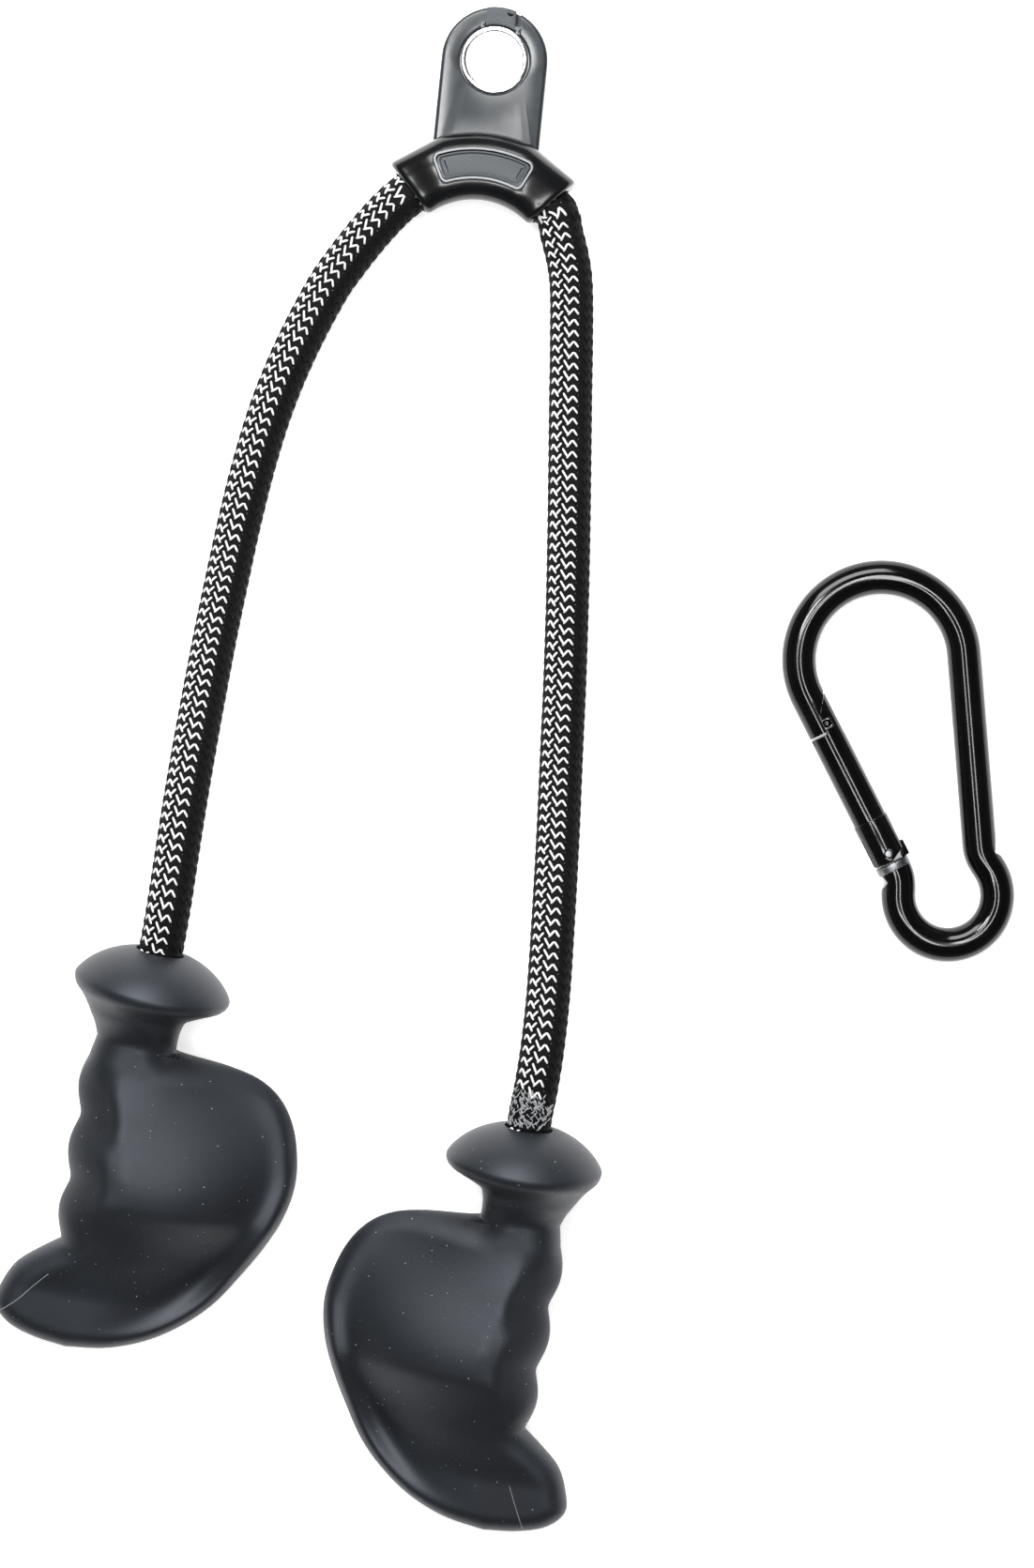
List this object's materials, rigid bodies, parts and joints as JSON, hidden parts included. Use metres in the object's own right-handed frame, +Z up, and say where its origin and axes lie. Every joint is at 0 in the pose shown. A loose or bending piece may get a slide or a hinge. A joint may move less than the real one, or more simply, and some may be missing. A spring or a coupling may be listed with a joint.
{
  "type": "triceps rope attachment",
  "caption": "Braided pull rope through a curved saddle under an eye plate, with moulded palm-shaped handles and a separate snap hook.",
  "frame": {"origin": "middle of the footprint, at the level of the surface that the set lies on", "axes": "+Z up off that surface, +Y along the rope from the handles to the eye, +X to the right as seen from above"},
  "size_m": [0.3618, 0.5392, 0.0545],
  "materials": {
    "plate_black": "satin powder coat",
    "bright_steel": "plated",
    "tube_steel": "zinc plated",
    "cover_black": "gloss",
    "insert_grey": "fine grain",
    "braid": "braided polyester, white fleck on black",
    "grip_rubber": "matt moulded",
    "sleeve_nylon": "natural",
    "ferrule_aluminium": "as drawn",
    "hook_paint": "gloss black"
  },
  "bodies": {
    "hanger": {"hanger_plate": "plate_black", "eye_bush": "bright_steel", "rope_tube": "tube_steel", "saddle_cover": "cover_black", "badge_insert": "insert_grey", "rope_in_saddle": "braid"},
    "left_leg": {"rope_left": "braid", "rope_tail_left": "braid", "ferrule_left": "ferrule_aluminium", "washer_left": "tube_steel"},
    "left_handle": {"grip_left": "grip_rubber", "core_sleeve_left": "sleeve_nylon", "rear_cap_left": "grip_rubber"},
    "right_leg": {"rope_right": "braid", "rope_tail_right": "braid", "ferrule_right": "ferrule_aluminium", "washer_right": "tube_steel"},
    "right_handle": {"grip_right": "grip_rubber", "core_sleeve_right": "sleeve_nylon", "rear_cap_right": "grip_rubber"},
    "carabiner": {"carabiner_body": "hook_paint", "gate_pin": "bright_steel"},
    "gate": {"carabiner_gate": "hook_paint", "gate_spring": "tube_steel"},
    "plunger": {"gate_plunger": "tube_steel"}
  },
  "joints": [
    {"name": "left_leg_spread", "type": "hinge", "parent": "hanger", "child": "left_leg", "pos_m": [-0.03347, 0.20437, 0.012], "axis": [0, 0, 1], "range_deg": [-45, 0.5], "deforming": ["rope_left"]},
    {"name": "right_leg_spread", "type": "hinge", "parent": "hanger", "child": "right_leg", "pos_m": [0.01606, 0.19934, 0.012], "axis": [0, 0, 1], "range_deg": [-0.5, 45], "deforming": ["rope_right"]},
    {"name": "left_handle_swivel", "type": "hinge", "parent": "left_leg", "child": "left_handle", "pos_m": [-0.1231, -0.0756, 0.0273], "axis": [0.2232, 0.9666, 0.1262], "continuous": true},
    {"name": "right_handle_swivel", "type": "hinge", "parent": "right_leg", "child": "right_handle", "pos_m": [0.0067, -0.1372, 0.0273], "axis": [0.1295, 0.9835, 0.1262], "continuous": true},
    {"name": "carabiner_lift", "type": "slide", "parent": "hanger", "child": "carabiner", "axis": [0, 0, 1], "range_m": [0, 0.3]},
    {"name": "gate_hinge", "type": "hinge", "parent": "carabiner", "child": "gate", "pos_m": [0.13584, -0.02985, 0.0061], "axis": [0, 0, -1], "range_deg": [0, 27], "stiffness_Nm_per_rad": 0.2, "springref_deg": -28.65},
    {"name": "plunger_slide", "type": "slide", "parent": "gate", "child": "plunger", "axis": [-0.4509, 0.8926, 0], "range_m": [0, 0.0008]}
  ],
  "couplings": [
    {"joint": "plunger_slide", "follows": "gate_hinge", "m_per_rad": 0.0016}
  ]
}
